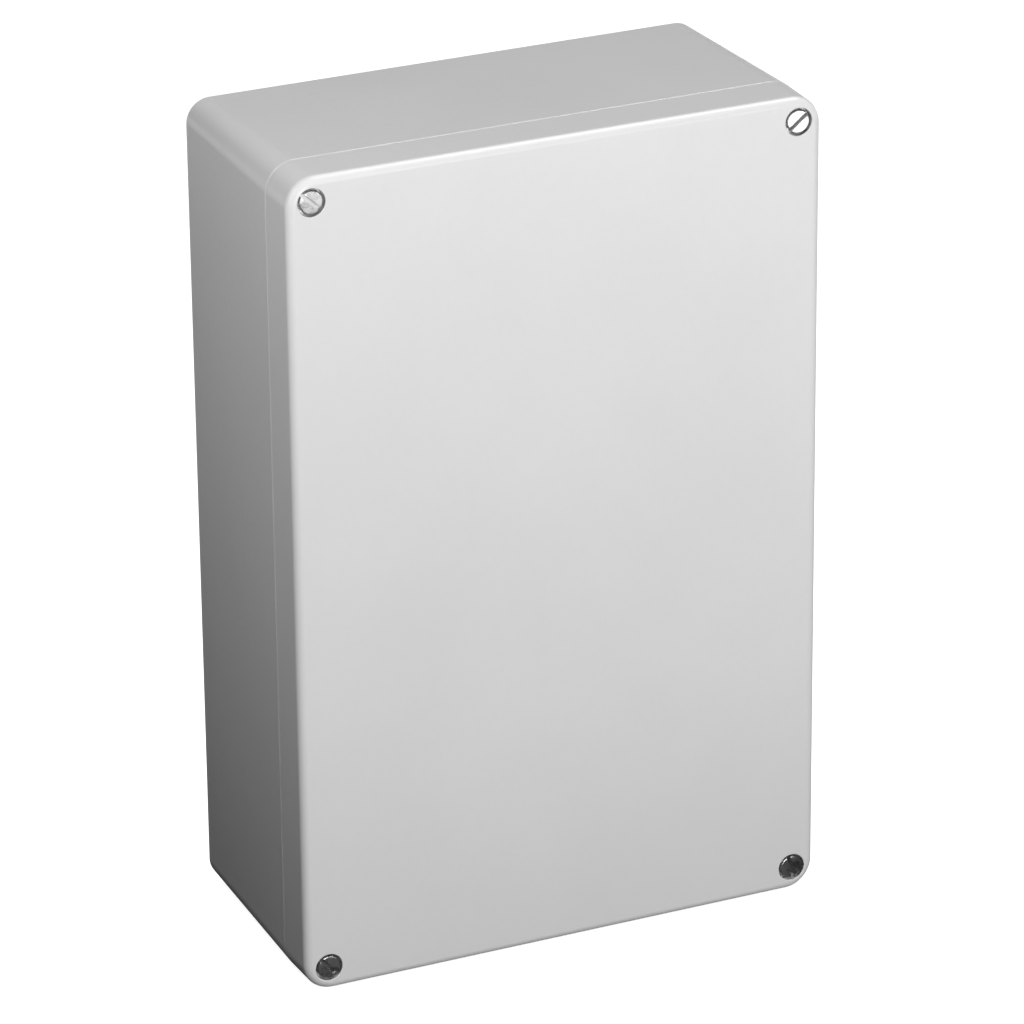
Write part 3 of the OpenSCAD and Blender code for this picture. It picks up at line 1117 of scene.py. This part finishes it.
@dataclass
class BaseCasting(Casting):
    """The deep half: walls, floor, corner blocks, bosses, tongue, and the screw and mounting holes."""

    floor_fillet: float = 3 * MM
    tongue_width: float = 1.6 * MM
    tongue_height: float = 1 * MM
    tongue_offset: float = 3 * MM
    entry_radius: float = 4.8 * MM
    entry_depth: float = 6.2 * MM
    screw_major: float = 3.05 * MM
    screw_minor: float = 2.46 * MM
    screw_pitch: float = 1 * MM
    thread_depth: float = 10 * MM
    channel_radius: float = 5.75 * MM
    mount_web: float = 6 * MM
    mount_radius: float = 3.3 * MM
    earth_boss_radius: float = 6 * MM
    earth_boss_height: float = 8 * MM
    earth_major: float = 2.55 * MM
    earth_minor: float = 2.09 * MM
    earth_pitch: float = 0.8 * MM
    earth_hole_depth: float = 7.65 * MM

    def build(self) -> None:
        """Builds the casting and hands it to its body."""
        sizes, finishes = self.sizes, self.finishes
        parting, floor = sizes.parting, sizes.floor
        base = self.block(
            "base_casting", -parting, sizes.base_draft, sizes.back_edge_radius, sizes.base_parting_radius
        )
        Bench.cut(base, self.cavity(parting, floor, self.floor_fillet))
        bosses = self.boss(self.boss_radius, floor + self.boss_height, floor)
        Bench.join(base, Bench.placed(bosses, four_places(sizes.boss_x, sizes.boss_y)))
        earth = self.boss(self.earth_boss_radius, floor + self.earth_boss_height, floor)
        Bench.join(base, Bench.placed(earth, [(-sizes.earth_x, sizes.earth_y)]))
        Bench.join(base, self.tongue())
        screws = four_places(sizes.screw_x, sizes.screw_y)
        shelf = parting - self.entry_depth
        entry = [(self.entry_radius, shelf), *self.mouth(self.entry_radius, parting, 1)]
        Bench.cut(base, self.bore(entry, screws))
        tapped = self.tapped(
            self.screw_major, self.screw_minor, self.screw_pitch, shelf, shelf - self.thread_depth
        )
        Bench.cut(base, Bench.placed(tapped, screws))
        mounts = four_places(sizes.screw_x, sizes.mount_y)
        channel = [
            *reversed(self.mouth(self.mount_radius, 0.0, -1)), (self.mount_radius, self.mount_web),
            (self.channel_radius, self.mount_web), *self.mouth(self.channel_radius, parting, 1),
        ]
        Bench.cut(base, self.bore(channel, mounts))
        face = floor + self.boss_height
        fixing = self.tapped(self.tap_major, self.tap_minor, self.tap_pitch, face, face - self.tap_depth)
        Bench.cut(base, Bench.placed(fixing, four_places(sizes.boss_x, sizes.boss_y)))
        earth_face = floor + self.earth_boss_height
        earth_hole = self.tapped(
            self.earth_major, self.earth_minor, self.earth_pitch,
            earth_face, earth_face - self.earth_hole_depth,
        )
        Bench.cut(base, Bench.placed(earth_hole, [(-sizes.earth_x, sizes.earth_y)]))
        marks = [(x * MM, y * MM) for x in (-60, 0, 60) for y in (-95, 0, 95)]
        Bench.cut(base, self.ejector_marks(floor, 1, marks))
        for level in (face, earth_face):
            Bench.bare(base, finishes.machined, lambda c: abs(c.z - level) < MERGE)
        hand_over(base, "base", "housing_base")

    def tongue(self) -> Piece:
        """Narrow ridge round the rim, on the middle of the walls, that presses into the seal.

        Returns:
            The ring, sunk into the rim.
        """
        top = self.sizes.parting + self.tongue_height
        drop = 2 * self.tongue_height
        ring = Bench.stepped_ring("tongue", self.tongue_offset, self.tongue_width, top, drop)
        Bench.round_level(ring, top, self.ring_edge, 3)
        return Bench.coat(ring, self.finishes.coat)


@dataclass
class LidCasting(Casting):
    """The shallow half: front plate, skirt, corner pillars, seal groove, bosses and screw holes."""

    inner_fillet: float = 2.5 * MM
    groove_width: float = 3.2 * MM
    groove_depth: float = 2.6 * MM
    groove_offset: float = 3 * MM
    groove_edge: float = 0.4 * MM
    head_seat: float = 105.8 * MM
    counterbore_radius: float = 5.8 * MM
    clearance_radius: float = 3.3 * MM
    recess_radius: float = 4.8 * MM
    recess_depth: float = 2.3 * MM
    earth_boss_radius: float = 5 * MM
    earth_major: float = 2.05 * MM
    earth_minor: float = 1.66 * MM
    earth_pitch: float = 0.7 * MM
    earth_hole_depth: float = 5.65 * MM

    def build(self) -> None:
        """Builds the casting and hands it to its body."""
        sizes, finishes = self.sizes, self.finishes
        parting, inside, front = sizes.parting, sizes.lid_inside, sizes.depth
        lid = self.block(
            "lid_casting", sizes.lid_depth, sizes.lid_draft, sizes.front_edge_radius, sizes.lid_parting_radius
        )
        Bench.cut(lid, self.cavity(parting, inside, self.inner_fillet))
        bosses = self.boss(self.boss_radius, inside - self.boss_height, inside)
        Bench.join(lid, Bench.placed(bosses, four_places(sizes.boss_x, sizes.boss_y)))
        earth = self.boss(self.earth_boss_radius, inside - self.boss_height, inside)
        Bench.join(lid, Bench.placed(earth, [(sizes.earth_x, sizes.earth_y)]))
        Bench.cut(lid, self.groove())
        screws = four_places(sizes.screw_x, sizes.screw_y)
        recess = parting + self.recess_depth
        hole = [
            *reversed(self.mouth(self.recess_radius, parting, -1)), (self.recess_radius, recess),
            (self.clearance_radius, recess), (self.clearance_radius, self.head_seat),
            (self.counterbore_radius, self.head_seat), *self.mouth(self.counterbore_radius, front, 1),
        ]
        Bench.cut(lid, self.bore(hole, screws, self.counterbore_radius + 0.05 * MM))
        face = inside - self.boss_height
        fixing = self.tapped(self.tap_major, self.tap_minor, self.tap_pitch, face, face + self.tap_depth)
        Bench.cut(lid, Bench.placed(fixing, four_places(sizes.boss_x, sizes.boss_y)))
        earth_hole = self.tapped(
            self.earth_major, self.earth_minor, self.earth_pitch, face, face + self.earth_hole_depth
        )
        Bench.cut(lid, Bench.placed(earth_hole, [(sizes.earth_x, sizes.earth_y)]))
        marks = [(x * MM, y * MM) for x in (-60, 0, 60) for y in (-95, 0, 95)]
        Bench.cut(lid, self.ejector_marks(inside, -1, marks))
        Bench.bare(lid, finishes.machined, lambda c: abs(c.z - face) < MERGE)
        hand_over(lid, "lid", "lid")

    def groove(self) -> Piece:
        """Cutter for the seal groove, with rounded bottom corners.

        Returns:
            The cutter, a closed ring.
        """
        bottom = self.sizes.parting + self.groove_depth
        drop = self.groove_depth + self.over
        ring = Bench.stepped_ring("groove_cutter", self.groove_offset, self.groove_width, bottom, drop)
        Bench.round_level(ring, bottom, self.groove_edge, 3)
        return Bench.coat(ring, self.finishes.coat)


# ---------------------------------------------------------------- small pieces


@dataclass(frozen=True)
class SlottedScrew:
    """Cheese-head screw with a straight slot, a waist and a cut thread, on the z axis."""

    name: str
    head_radius: float
    head_height: float
    slot_width: float
    slot_depth: float
    waist_radius: float
    waist_length: float
    major: float
    minor: float
    pitch: float
    thread_length: float
    under: float
    up: int = 1
    chamfer: float = 0.5 * MM
    tip_chamfer: float = 0.7 * MM
    fillet: float = 0.35 * MM

    def level(self, rise: float) -> float:
        """Height of a point that lies this far above the underside of the head."""
        return self.under + self.up * rise

    def blank(self) -> Piece:
        """Turns the head and waist, winds the thread and joins them.

        Returns:
            The screw before its slot is cut.
        """
        top, radius, waist = self.head_height, self.head_radius, self.waist_radius
        edge = 0.1 * MM
        profile = [
            (0.0, top), (radius - self.chamfer - edge, top),
            (radius - self.chamfer + 0.2 * edge, top - 0.35 * edge),
            (radius - 0.35 * edge, top - self.chamfer + 0.2 * edge), (radius, top - self.chamfer - edge),
            (radius, 0.15 * MM), (radius - 0.15 * MM, 0.0),
        ]
        profile += arc(waist + self.fillet, -self.fillet, self.fillet, 90, 180, 4)
        profile += [(waist, -self.waist_length - 0.5 * MM), (0.0, -self.waist_length - 0.5 * MM)]
        head = Bench.turned(self.name, [(r, self.level(z)) for r, z in profile])
        first, last = -self.waist_length, -self.waist_length - self.thread_length
        low, high = sorted((self.level(first), self.level(last)))
        rod = Bench.thread_rod(
            "screw_thread", self.major, self.minor, self.pitch, low - 0.5 * MM, high + 0.5 * MM
        )
        slack = 0.01 * MM
        outline = [
            (0.0, first), (self.minor + 0.05 * MM, first), (self.major + slack, first - 0.4 * MM),
            (self.major + slack, last + self.tip_chamfer + slack),
            (self.major - self.tip_chamfer, last), (0.0, last),
        ]
        envelope = Bench.turned("screw_envelope", [(r, self.level(z)) for r, z in outline])
        Bench.join(rod, envelope, "INTERSECT")
        return Bench.join(head, rod)

    def slotted(self, screw: Piece, degrees: float) -> Piece:
        """Mills the slot, with its upper edges just broken.

        Args:
            screw: The blank.
            degrees: Angle of the slot from the x direction towards y.

        Returns:
            The screw.
        """
        flare = 0.12 * MM
        length = 3 * self.head_radius
        floor = self.head_height - self.slot_depth
        depth = self.slot_depth - flare
        cutter = Bench.brick(
            "slot_cutter", (length, self.slot_width, depth), (0, 0, self.level(floor + depth / 2))
        )
        brim = self.level(self.head_height - flare)
        with Bench.editing(cutter, Element.FACE):
            Bench.pick(cutter, Element.FACE, lambda c: abs(c.z - brim) < MERGE)
            bpy.ops.mesh.extrude_region_move(TRANSFORM_OT_translate={"value": (0, 0, self.up * flare)})
            bpy.ops.transform.resize(value=(1, 1 + 2 * flare / self.slot_width, 1))
            bpy.ops.mesh.extrude_region_move(TRANSFORM_OT_translate={"value": (0, 0, self.up * MM)})
            bpy.ops.mesh.select_all(action="SELECT")
            bpy.ops.mesh.normals_make_consistent(inside=False)
        cutter.rotation_euler = (0, 0, math.radians(degrees))
        bpy.context.view_layer.update()
        return Bench.cut(screw, cutter)


@dataclass
class LidScrews:
    """The four captive screws of the lid, modelled once and copied, and their collars."""

    finishes: Finishes
    sizes: BoxSizes = SIZES
    collar_inner: float = 2.43 * MM
    collar_outer: float = 4.5 * MM
    collar_height: float = 1.2 * MM
    collar_level: float = 82.8 * MM
    collar_edge: float = 0.2 * MM
    pattern: SlottedScrew = SlottedScrew(
        "lid_screw", 5 * MM, 3.9 * MM, 1.6 * MM, 1.7 * MM, 2.35 * MM, 23 * MM,
        3 * MM, 2.39 * MM, 1 * MM, 7 * MM, 105.8 * MM,
    )
    slot_degrees: dict[Corner, float] = field(
        default_factory=lambda: {
            Corner.TOP_LEFT: 137.0,
            Corner.TOP_RIGHT: 38.5,
            Corner.BOTTOM_LEFT: 129.0,
            Corner.BOTTOM_RIGHT: 104.5,
        }
    )

    def build(self) -> None:
        """Builds the four screws and the four collars, and hands each to its body."""
        screw, collar = self.pattern.blank(), self.collar()
        for corner in Corner:
            place = [(corner.value[0] * self.sizes.screw_x, corner.value[1] * self.sizes.screw_y)]
            blank = Bench.twin(screw, f"screw_{corner.label}_piece")
            piece = self.pattern.slotted(blank, self.slot_degrees[corner])
            Bench.coat(Bench.placed(piece, place), self.finishes.plated[corner])
            hand_over(piece, f"screw_{corner.label}", f"lid_screw_{corner.label}")
            ring = Bench.placed(Bench.twin(collar, f"collar_{corner.label}_piece"), place)
            Bench.coat(ring, self.finishes.nylon)
            hand_over(ring, f"collar_{corner.label}", f"screw_collar_{corner.label}")
        for pattern in (screw, collar):
            bpy.data.objects.remove(pattern)

    def collar(self) -> Piece:
        """Turns the retaining collar, with rounded edges."""
        edge, low, high = self.collar_edge, self.collar_level, self.collar_level + self.collar_height
        profile = [
            *arc(self.collar_outer - edge, low + edge, edge, -90, 0, 4),
            *arc(self.collar_outer - edge, high - edge, edge, 0, 90, 4),
            *arc(self.collar_inner + edge, high - edge, edge, 90, 180, 4),
            *arc(self.collar_inner + edge, low + edge, edge, 180, 270, 4),
        ]
        return Bench.turned("collar", [*profile, profile[0]], 56)


@dataclass
class Seal:
    """Rubber seal in the lid's groove."""

    finishes: Finishes
    sizes: BoxSizes = SIZES
    middle: float = 3 * MM
    width: float = 3 * MM
    thickness: float = 1.6 * MM
    lift: float = 1 * MM
    rounding: float = 0.35 * MM

    def build(self) -> None:
        """Builds the seal and hands it to the lid."""
        low = self.sizes.parting + self.lift
        seal = Bench.stepped_ring("lid_seal", self.middle, self.width, low + self.thickness, self.thickness)
        for level in (low, low + self.thickness):
            Bench.round_level(seal, level, self.rounding, 3)
        hand_over(Bench.coat(seal, self.finishes.rubber), "lid", "lid_gasket")


@dataclass
class EarthTerminal:
    """Earth terminal on its boss: a bent clamp, a split washer and a slotted screw."""

    finishes: Finishes
    prefix: str
    body: str
    x: float
    y: float
    face: float
    up: int
    screw: SlottedScrew
    clamp_thickness: float = 1.2 * MM
    lip_height: float = 2.4 * MM
    head_room: float = 0.6 * MM
    washer_thickness: float = 1.2 * MM
    slit: float = 0.8 * MM
    slit_slant: float = math.radians(14)
    slot_degrees: float = 30.0

    @property
    def bore(self) -> float:
        """Radius of the holes in the clamp and the washer."""
        return self.screw.major + 0.05 * MM

    def level(self, rise: float) -> float:
        """Height of a point that lies this far above the boss."""
        return self.face + self.up * rise

    def build(self) -> None:
        """Builds the three pieces and hands them to their body."""
        screw = self.screw.slotted(self.screw.blank(), self.slot_degrees)
        brass, steel = self.finishes.brass[self.prefix], self.finishes.spring_steel[self.prefix]
        for piece, material, node, slot in (
            (screw, brass, "earth_screw", "terminal_brass"),
            (self.washer(), steel, "earth_lock_washer", "washer_steel"),
            (self.clamp(), brass, "earth_clamp", "terminal_brass"),
        ):
            Bench.placed(piece, [(self.x, self.y)])
            piece.name = f"{self.prefix}{node}_piece"
            hand_over(Bench.coat(piece, material), self.body, f"{self.prefix}{node}")

    def washer(self) -> Piece:
        """Turns the washer and slits it at a slant."""
        edge = 0.12 * MM
        low, high = self.clamp_thickness, self.clamp_thickness + self.washer_thickness
        outer = self.screw.head_radius
        profile = [
            *arc(outer - edge, low + edge, edge, -90, 0, 2), *arc(outer - edge, high - edge, edge, 0, 90, 2),
            *arc(self.bore + edge, high - edge, edge, 90, 180, 2),
            *arc(self.bore + edge, low + edge, edge, 180, 270, 2),
        ]
        ring = Bench.turned("washer", [(r, self.level(z)) for r, z in [*profile, profile[0]]], 56)
        middle = self.level((low + high) / 2)
        slit = self.slit * math.cos(self.slit_slant)
        knife = Bench.brick("slit_cutter", (2 * outer, slit, 4 * MM), (outer, 0, 0))
        knife.rotation_euler = (self.slit_slant, 0, 0)
        knife.location = (0, 0, middle)
        bpy.context.view_layer.update()
        return Bench.cut(ring, knife)

    def clamp(self) -> Piece:
        """Bends the clamp: a square plate with a lip on either side and a round hole."""
        thick, lip = self.clamp_thickness, self.lip_height
        width = 2 * (self.screw.head_radius + thick + self.head_room)
        inside = width - 2 * thick
        plate = Bench.brick("clamp", (width, width, lip), (0, 0, self.level(lip / 2)))
        with Bench.editing(plate, Element.EDGE):
            Bench.pick(plate, Element.EDGE, lambda c: abs(c.z - self.level(lip / 2)) < MERGE)
            Bench.round_picked(0.8 * MM)
            Bench.pick(
                plate,
                Element.EDGE,
                lambda c: abs(abs(c.x) - width / 2) < MERGE and abs(c.z - self.level(0)) < MERGE,
            )
            Bench.round_picked(0.9 * MM, 4)
        channel = Bench.brick("channel_cutter", (inside, 2 * width, lip), (0, 0, self.level(thick + lip / 2)))
        with Bench.editing(channel, Element.EDGE):
            Bench.pick(
                channel,
                Element.EDGE,
                lambda c: abs(abs(c.x) - inside / 2) < MERGE and abs(c.z - self.level(thick)) < MERGE,
            )
            Bench.round_picked(0.3 * MM)
        Bench.cut(plate, channel)
        profile = [
            (0.0, -MM), (self.bore, -MM), (self.bore, thick - 0.1 * MM), (self.bore + 0.1 * MM, thick),
            (self.bore + 0.1 * MM, 2 * thick), (0.0, 2 * thick),
        ]
        Bench.cut(plate, Bench.turned("bore_cutter", [(r, self.level(z)) for r, z in profile], 48))
        with Bench.editing(plate, Element.EDGE):
            Bench.level_edges(plate, self.level(lip))
            Bench.round_picked(0.12 * MM, 2)
        return plate


def hand_over(piece: Piece, body: str, node: str) -> None:
    """Smooths a piece, stands it up, and puts it on its body in place of the plain node.

    Args:
        piece: The finished piece, still in its modelling position.
        body: Name of the body that it rides on.
        node: Name of the node that it takes the place of.
    """
    Bench.smooth(piece)
    Bench.stand(piece)
    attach(piece, body)
    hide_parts(node)
    log.info("%s rides on %s, %d faces", piece.name, body, len(piece.data.polygons))


# ---------------------------------------------------------------- studio


@dataclass(frozen=True)
class Viewpoint:
    """Camera: where it stands and how it is turned, about the middle of the box."""

    turn: float = math.radians(-24.33)
    tilt: float = math.radians(23.34)
    roll: float = math.radians(-0.56)
    distance: float = math.exp(7.83) * MM
    lens: float = 217.26
    aside: float = -7.39
    above: float = -11.79
    focal: float = 6180.05

    def build(self) -> Piece:
        """Sets up the camera and makes it the scene's own.

        Returns:
            The camera.
        """
        right = Vector((math.cos(self.turn), math.sin(self.turn), 0))
        level = math.cos(self.tilt)
        ahead = Vector((-math.sin(self.turn) * level, math.cos(self.turn) * level, -math.sin(self.tilt)))
        up = right.cross(ahead)
        across = math.cos(self.roll) * right + math.sin(self.roll) * up
        upward = -math.sin(self.roll) * right + math.cos(self.roll) * up
        middle = Vector((0, 0, SIZES.height / 2))
        offset = Vector((self.aside, self.above, self.focal)) * (self.distance / self.focal)
        place = middle - (across * offset.x - upward * offset.y + ahead * offset.z)
        lens = bpy.data.cameras.new("camera")
        lens.lens = self.lens
        lens.sensor_width = 36
        lens.clip_start, lens.clip_end = 0.05, 100
        camera = bpy.data.objects.new("camera", lens)
        camera.matrix_world = Matrix(
            (
                (across.x, upward.x, -ahead.x, place.x),
                (across.y, upward.y, -ahead.y, place.y),
                (across.z, upward.z, -ahead.z, place.z),
                (0, 0, 0, 1),
            )
        )
        bpy.context.scene.collection.objects.link(camera)
        bpy.context.scene.camera = camera
        return camera


@dataclass(frozen=True)
class SoftBox:
    """Square studio light, aimed at the middle of the box."""

    name: str
    turn: float
    rise: float
    distance: float
    power: float
    spread: float = 0.4

    def build(self) -> Piece:
        """Hangs the light where it isn't seen itself.

        Returns:
            The light.
        """
        turn, rise = math.radians(self.turn), math.radians(self.rise)
        way = Vector((math.sin(turn) * math.cos(rise), -math.cos(turn) * math.cos(rise), math.sin(rise)))
        lamp = bpy.data.lights.new(self.name, "AREA")
        lamp.shape = "SQUARE"
        lamp.size = self.spread * self.distance
        lamp.energy = self.power
        light = bpy.data.objects.new(self.name, lamp)
        light.location = Vector((0, 0, SIZES.height / 2)) + way * self.distance
        light.rotation_euler = (-way).to_track_quat("-Z", "Y").to_euler()
        light.visible_camera = False
        bpy.context.scene.collection.objects.link(light)
        return light


@dataclass
class Studio:
    """Plain pale floor, white surroundings, soft lights and the camera."""

    floor_half: float = 6.0
    floor_glow: float = 0.86
    # The floor's glow is painted bounce light that only the box sees; bounce_near and bounce_far set where
    # its painted shadow round the box fades in.
    painted_floor_bounce: float = 1.08
    bounce_near: float = 0.7
    bounce_far: float = 1.6
    lights: tuple[SoftBox, ...] = (
        SoftBox("front_light", 0, 5, 1.5, 14.92),
        SoftBox("near_front_light", 30, 5, 0.65, 1.031),
        SoftBox("near_left_light", -60, 45, 0.65, 0.87),
        SoftBox("low_left_light", -60, 25, 0.65, 0.668),
        SoftBox("far_left_light", -90, 45, 0.65, 0.338),
        SoftBox("upper_right_light", 90, 65, 1.5, 16.1),
    )

    def build(self) -> None:
        """Builds the stage, the lights and the camera."""
        self.build_floor()
        self.build_surroundings()
        for light in self.lights:
            light.build()
        Viewpoint().build()

    def build_floor(self) -> None:
        """Lays the floor: pale to the eye, and to the box a glow of painted bounce light that fades out close
        to it as a painted shadow of the box.
        """
        Bench.clear()
        bpy.ops.mesh.primitive_plane_add(size=2 * self.floor_half)
        floor = Bench.named("floor")
        material = bpy.data.materials.new("pale_floor")
        material.use_nodes = True
        wiring = Wiring(material.node_tree)
        seen = wiring.add("ShaderNodeBsdfPrincipled")
        seen.inputs["Base Color"].default_value = grey(0.8)
        seen.inputs["Roughness"].default_value = 1.0
        seen.inputs["Specular IOR Level"].default_value = 0.0
        seen.inputs["Emission Color"].default_value = grey(1.0)
        seen.inputs["Emission Strength"].default_value = self.floor_glow
        parts = wiring.add("ShaderNodeSeparateXYZ")
        wiring.link(wiring.add("ShaderNodeTexCoord").outputs["Object"], parts.inputs[0])
        aside = wiring.maths("SUBTRACT", wiring.maths("ABSOLUTE", parts.outputs["X"]), SIZES.width / 2)
        ahead = wiring.maths("SUBTRACT", wiring.maths("ABSOLUTE", parts.outputs["Y"]), SIZES.depth / 2)
        # Painted shadow: the glow that the box sees fades to nothing close to the box, standing in for the
        # box's own shade on the floor.
        box_shadow_fade = wiring.add("ShaderNodeMapRange", interpolation_type="SMOOTHSTEP")
        box_shadow_fade.inputs["From Min"].default_value = self.bounce_near
        box_shadow_fade.inputs["From Max"].default_value = self.bounce_far
        box_shadow_fade.inputs["To Max"].default_value = self.painted_floor_bounce
        wiring.link(wiring.maths("MAXIMUM", aside, ahead), box_shadow_fade.inputs["Value"])
        bounce = wiring.add("ShaderNodeEmission")
        wiring.link(box_shadow_fade.outputs["Result"], bounce.inputs["Strength"])
        chosen = wiring.add("ShaderNodeMixShader")
        wiring.link(wiring.add("ShaderNodeLightPath").outputs["Is Camera Ray"], chosen.inputs["Fac"])
        wiring.link(bounce.outputs["Emission"], chosen.inputs[1])
        wiring.link(seen.outputs["BSDF"], chosen.inputs[2])
        hidden = wiring.add("ShaderNodeBsdfTransparent")
        sided = wiring.add("ShaderNodeMixShader")
        wiring.link(wiring.add("ShaderNodeNewGeometry").outputs["Backfacing"], sided.inputs["Fac"])
        wiring.link(chosen.outputs["Shader"], sided.inputs[1])
        wiring.link(hidden.outputs["BSDF"], sided.inputs[2])
        output = wiring.add("ShaderNodeOutputMaterial")
        wiring.link(sided.outputs["Shader"], output.inputs["Surface"])
        floor.data.materials.append(material)

    def build_surroundings(self) -> None:
        """Shows white all round, without lighting the box by it."""
        world = bpy.data.worlds.new("studio")
        world.use_nodes = True
        wiring = Wiring(world.node_tree)
        background = wiring.add("ShaderNodeBackground")
        background.inputs["Color"].default_value = grey(1.0)
        wiring.link(wiring.add("ShaderNodeLightPath").outputs["Is Camera Ray"], background.inputs["Strength"])
        output = wiring.add("ShaderNodeOutputWorld")
        wiring.link(background.outputs["Background"], output.inputs["Surface"])
        bpy.context.scene.world = world
        bpy.context.scene.view_settings.view_transform = "Standard"


# ---------------------------------------------------------------- assembly


def earth_terminals(finishes: Finishes) -> tuple[EarthTerminal, EarthTerminal]:
    """The earth terminals of the base and of the lid."""
    in_base = SlottedScrew(
        "earth_screw_blank", 4.25 * MM, 3.25 * MM, 1.2 * MM, 1.625 * MM, 1.95 * MM, 0.8 * MM,
        2.5 * MM, 2.02 * MM, 0.8 * MM, 9.2 * MM, 14.9 * MM,
    )
    in_lid = SlottedScrew(
        "lid_earth_screw_blank", 3.4 * MM, 2.6 * MM, 1.2 * MM, 1.3 * MM, 1.52 * MM, 0.8 * MM,
        2 * MM, 1.59 * MM, 0.7 * MM, 7.2 * MM, 97.1 * MM, up=-1,
    )
    return (
        EarthTerminal(finishes, "", "base", -SIZES.earth_x, SIZES.earth_y, 12.5 * MM, 1, in_base),
        EarthTerminal(finishes, "lid_", "lid", SIZES.earth_x, SIZES.earth_y, 99.5 * MM, -1, in_lid),
    )


def main() -> None:
    """Builds the box piece by piece, then the studio."""
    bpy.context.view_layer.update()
    finishes = Finishes()
    BaseCasting(finishes).build()
    LidCasting(finishes).build()
    Seal(finishes).build()
    LidScrews(finishes).build()
    for terminal in earth_terminals(finishes):
        terminal.build()
    Studio().build()


if __name__ == "__main__":
    main()
